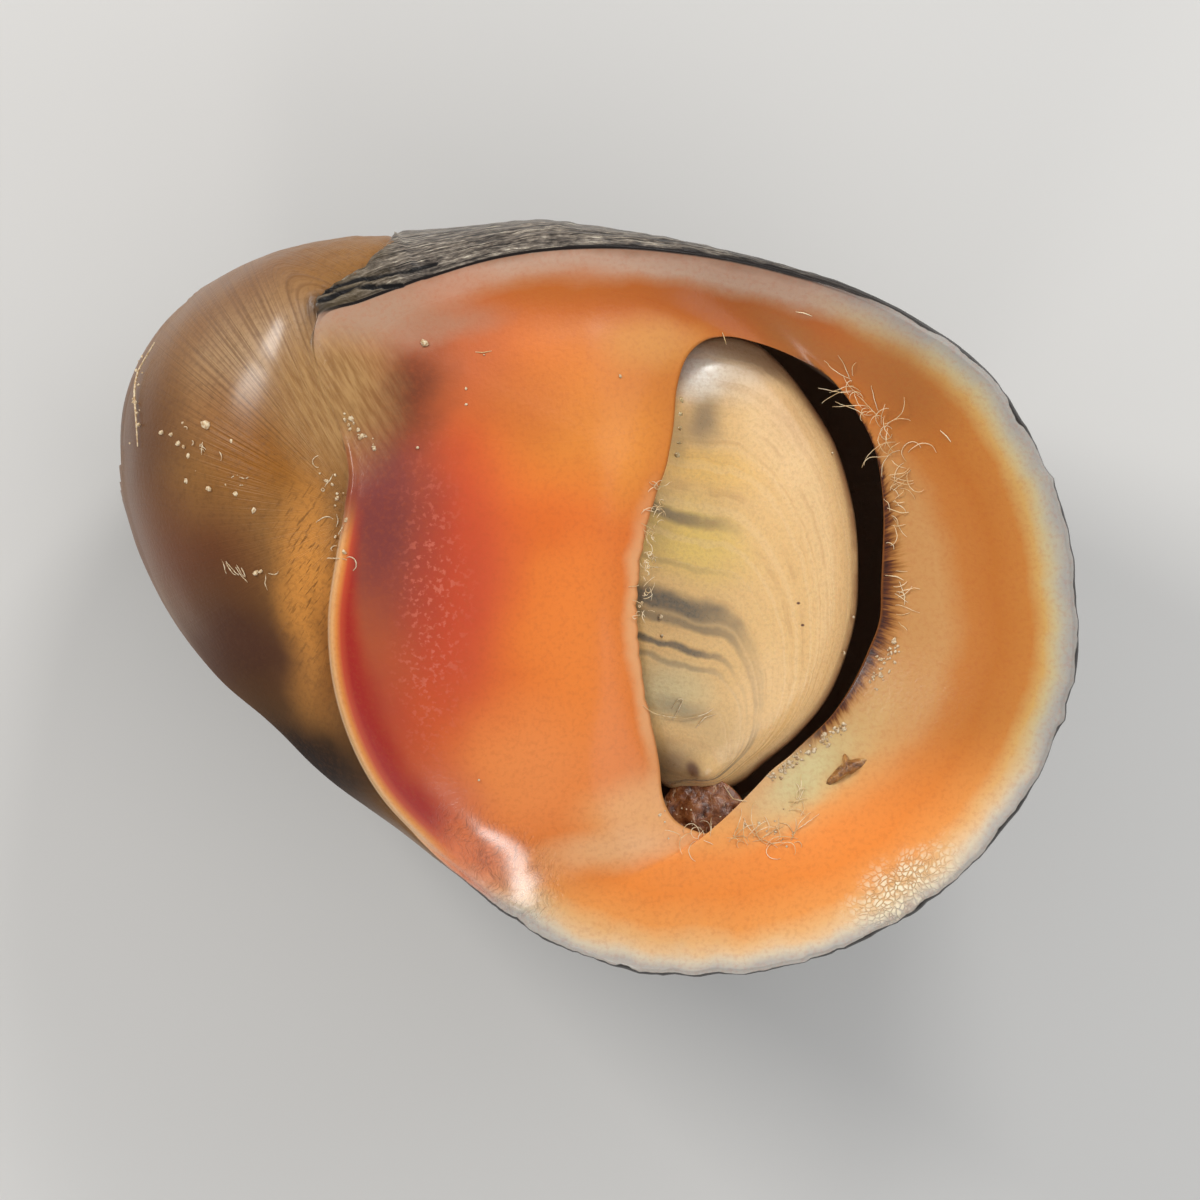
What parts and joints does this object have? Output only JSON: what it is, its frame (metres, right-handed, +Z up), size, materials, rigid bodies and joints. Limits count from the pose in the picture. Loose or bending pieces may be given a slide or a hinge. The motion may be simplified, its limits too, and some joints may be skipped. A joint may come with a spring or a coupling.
{
  "type": "nerite seashell",
  "caption": "Rounded nerite snail shell lying on its back with its mouth up: flared lip, smooth bulging deck, low spire, a shelly door resting in the mouth and a scrap of dried foot.",
  "frame": {"origin": "on the ground, under the middle of the shell's outline as seen from above", "axes": "+X towards the outer lip, +Y towards the shell's shoulder, +Z up out of the mouth"},
  "size_m": [0.0271, 0.0213, 0.0153],
  "materials": {
    "shell": "glossy orange and cream shell lime inside, brown to black grown skin outside",
    "operculum": "satin grey-beige shell lime with growth bands",
    "dried_tissue": "brown mottled dried flesh"
  },
  "bodies": {
    "root": {"shell": "shell", "operculum": "operculum", "dried_tissue": "dried_tissue"}
  },
  "joints": []
}
